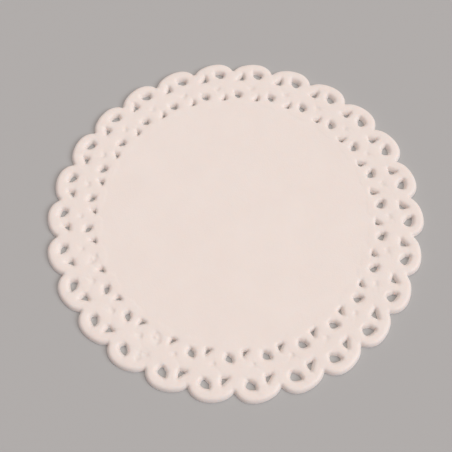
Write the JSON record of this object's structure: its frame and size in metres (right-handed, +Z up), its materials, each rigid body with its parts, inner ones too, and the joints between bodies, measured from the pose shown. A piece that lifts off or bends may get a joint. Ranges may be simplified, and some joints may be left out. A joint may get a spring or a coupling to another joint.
{
  "type": "lace doily",
  "caption": "Round flat white lace doily: a plain middle, a border of rounded cords looped round rows of cut-through gaps, and a scalloped edge.",
  "frame": {"origin": "under the middle of the doily, on its flat underside", "axes": "+Z up, out of the rounded side; +X and +Y in the plane of the doily, +Y away from the usual viewer"},
  "size_m": [0.2533, 0.2533, 0.004],
  "materials": {
    "white_lace": "smooth warm white, matt with a slight satin sheen on the cords"
  },
  "bodies": {
    "root": {"doily": "white_lace"}
  },
  "joints": []
}
